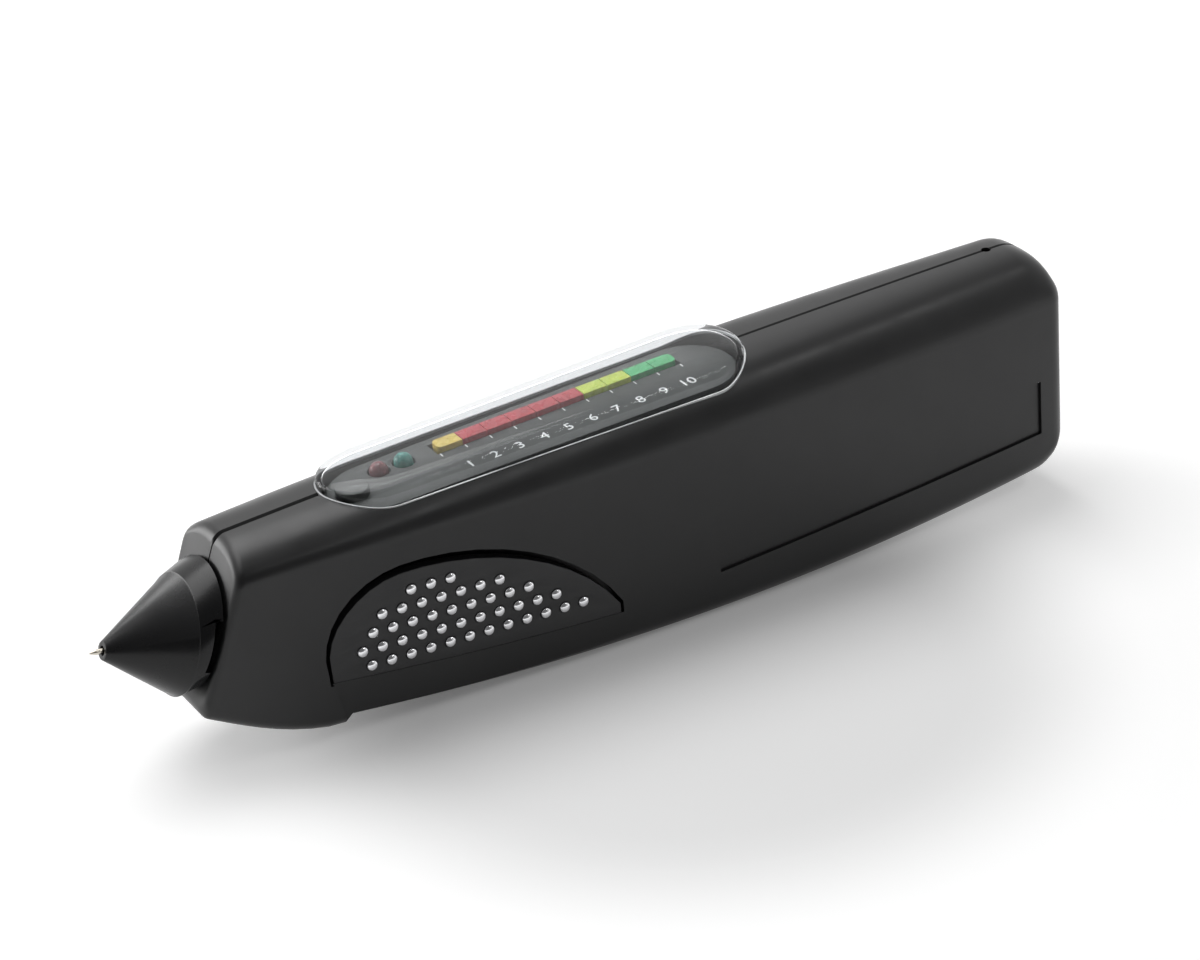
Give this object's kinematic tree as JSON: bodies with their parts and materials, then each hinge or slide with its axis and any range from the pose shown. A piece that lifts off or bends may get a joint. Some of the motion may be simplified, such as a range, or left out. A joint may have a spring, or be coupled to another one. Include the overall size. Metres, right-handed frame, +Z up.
{
  "type": "diamond tester",
  "caption": "Hand-held thermal gem tester with a sprung probe in a conical nose, a lit bar scale under a clear window, studded contact grips and a hinged battery door.",
  "frame": {"origin": "centre of the bounding box in X and Y, at the belly's resting flat", "axes": "+X from the probe tip to the rear end, +Y to the battery door's side, +Z up as the tester rests on its belly"},
  "size_m": [0.172, 0.024, 0.0427],
  "materials": {
    "casing_black": "satin, finely textured",
    "nose_black": "semi-gloss",
    "grip_black": "matte",
    "chrome": "polished",
    "steel": "satin",
    "probe_metal": "polished, nickelled",
    "clear_cover": "clear, glossy",
    "panel_grey": "matte",
    "board_green": "satin",
    "cell_grey": "printed sleeve",
    "insulator_cream": "matte",
    "lamp_yellow": "diffused",
    "lamp_red": "diffused",
    "lamp_lime": "diffused",
    "lamp_green": "diffused"
  },
  "bodies": {
    "casing": {"bar_lamp_01": "lamp_yellow", "bar_lamp_02": "lamp_red", "bar_lamp_03": "lamp_red", "bar_lamp_04": "lamp_red", "bar_lamp_05": "lamp_red", "bar_lamp_06": "lamp_red", "bar_lamp_07": "lamp_lime", "bar_lamp_08": "lamp_lime", "bar_lamp_09": "lamp_green", "bar_lamp_10": "lamp_green", "battery_1": "cell_grey", "battery_2": "cell_grey", "battery_3": "cell_grey", "battery_bridge_front": "steel", "battery_bridge_rear": "steel", "battery_contact_front": "steel", "battery_contact_rear": "steel", "battery_lamp": "lamp_red", "battery_tray": "nose_black", "buzzer": "nose_black", "casing_left": "casing_black", "casing_right": "casing_black", "casing_screw_1": "steel", "casing_screw_2": "steel", "casing_screw_3": "steel", "casing_screw_4": "steel", "circuit_board": "board_green", "contact_plate_left": "chrome", "contact_plate_right": "chrome", "display_cover": "clear_cover", "display_panel": "panel_grey", "grip_pad_left": "grip_black", "grip_pad_right": "grip_black", "microcontroller": "nose_black", "nose_cone": "nose_black", "power_socket": "nose_black", "power_switch": "nose_black", "probe_guide": "insulator_cream", "probe_spring": "steel", "ready_lamp": "lamp_green"},
    "probe": {"probe_tip": "probe_metal", "probe_holder": "insulator_cream"},
    "battery_door": {"battery_door": "casing_black"},
    "power_slider": {"power_slider": "grip_black"}
  },
  "joints": [
    {"name": "probe_press", "type": "slide", "parent": "casing", "child": "probe", "axis": [0.9951, 0, -0.0989], "range_m": [0, 0.0012], "stiffness_N_per_m": 400, "deforming": ["probe_spring"]},
    {"name": "battery_door_hinge", "type": "hinge", "parent": "casing", "child": "battery_door", "pos_m": [0.02197, 0.01194, 0.01821], "axis": [-0.0558, 0, 0.9984], "range_deg": [0, 80]},
    {"name": "power_slide", "type": "slide", "parent": "casing", "child": "power_slider", "axis": [0.9984, 0, 0.0558], "range_m": [0, 0.0026]}
  ]
}
